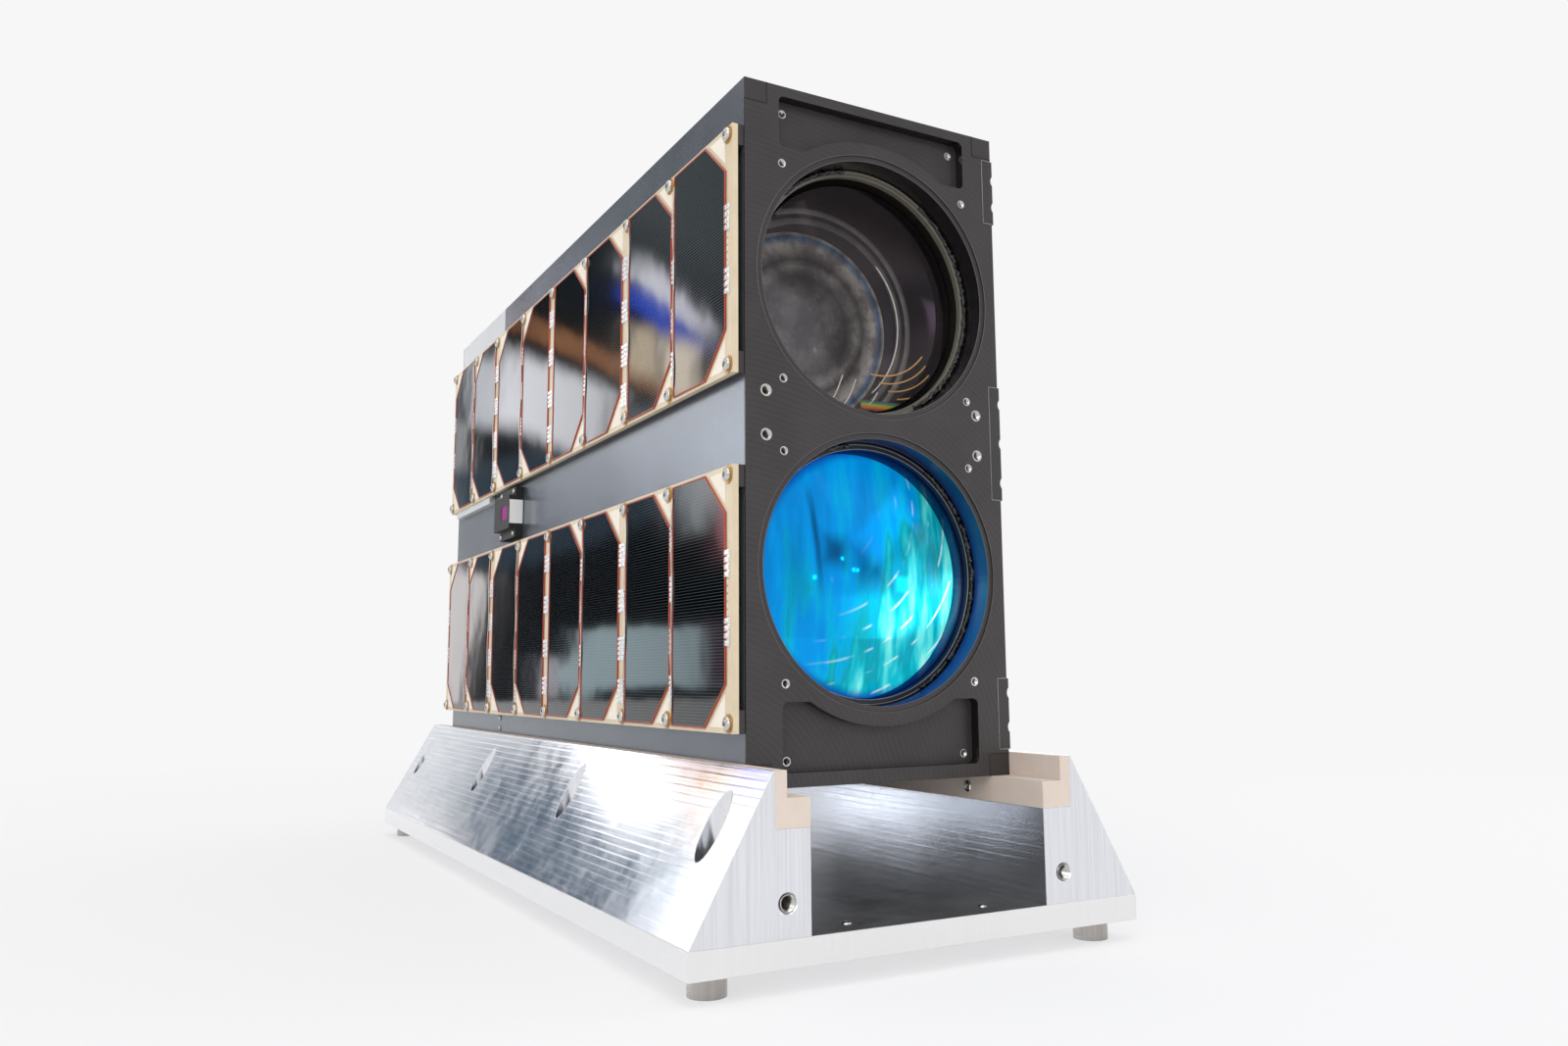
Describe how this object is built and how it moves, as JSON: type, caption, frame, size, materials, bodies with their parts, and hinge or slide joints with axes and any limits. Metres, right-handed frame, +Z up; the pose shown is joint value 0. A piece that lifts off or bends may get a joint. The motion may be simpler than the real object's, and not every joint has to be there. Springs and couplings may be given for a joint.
{
  "type": "small imaging satellite on an assembly cradle",
  "caption": "Box-shaped imaging satellite with a pair of stacked lens apertures in its front and solar panels on its side, seated in a milled aluminium cradle on short feet.",
  "frame": {"origin": "on the floor under the middle of the cradle, which is the middle of the part's bounding box in X and Y", "axes": "+Z up, the lens face looks towards -Y, the solar panels are on the -X side"},
  "size_m": [0.1604, 0.4164, 0.2795],
  "materials": {
    "black_anodised": "satin black anodised, milled",
    "grey_anodised": "bead-blasted, anodised",
    "clear_anodised": "clear anodised, satin",
    "connector_shell": "plated, satin",
    "black_plastic": "matt",
    "ceramic_patch": "matt, with a plated square",
    "barrel_black": "matt black anodised",
    "ring_metal": "turned, dark anodised",
    "clear_glass": "polished, anti-reflection coated",
    "blue_coated_glass": "polished, blue mirror coating",
    "board": "cream solder mask",
    "solar_cell": "dark cell under cover glass",
    "magenta_glass": "coated window",
    "electronics": "plain block",
    "milled_aluminium": "bright, milled",
    "pale_plastic": "machined, pale tan",
    "foot_steel": "turned"
  },
  "bodies": {
    "root": {"front_plate": "black_anodised", "rear_plate": "black_anodised", "left_skin": "grey_anodised", "right_skin": "grey_anodised", "top_skin": "grey_anodised", "bottom_skin": "grey_anodised", "rail_top_left": "black_anodised", "rail_top_right": "black_anodised", "rail_bottom_left": "black_anodised", "rail_bottom_right": "black_anodised", "access_connector": "connector_shell", "access_connector_insert": "black_plastic", "patch_antenna": "ceramic_patch", "right_access_panel": "grey_anodised", "top_access_panel": "grey_anodised", "rear_corner_cover": "clear_anodised", "edge_plate_top": "black_anodised", "edge_plate_middle": "black_anodised", "edge_plate_bottom": "black_anodised", "upper_barrel": "barrel_black", "upper_lens_ring": "ring_metal", "upper_front_lens": "clear_glass", "upper_inner_cell": "barrel_black", "upper_inner_lens": "clear_glass", "lower_barrel": "barrel_black", "lower_lens_ring": "ring_metal", "lower_front_lens": "blue_coated_glass", "lower_inner_cell": "barrel_black", "lower_inner_lens": "clear_glass", "upper_panel_board": "board", "upper_panel_cells": "solar_cell", "upper_panel_standoffs": "black_anodised", "lower_panel_board": "board", "lower_panel_cells": "solar_cell", "lower_panel_standoffs": "black_anodised", "panel_strip": "clear_anodised", "sun_sensor_body": "black_anodised", "sun_sensor_window": "magenta_glass", "electronics_block": "electronics", "cradle_base": "milled_aluminium", "cradle_block_left": "milled_aluminium", "cradle_block_right": "milled_aluminium", "guide_strip_left": "pale_plastic", "guide_strip_right": "pale_plastic", "foot_front_left": "foot_steel", "foot_front_right": "foot_steel", "foot_rear_left": "foot_steel", "foot_rear_right": "foot_steel"}
  },
  "joints": []
}
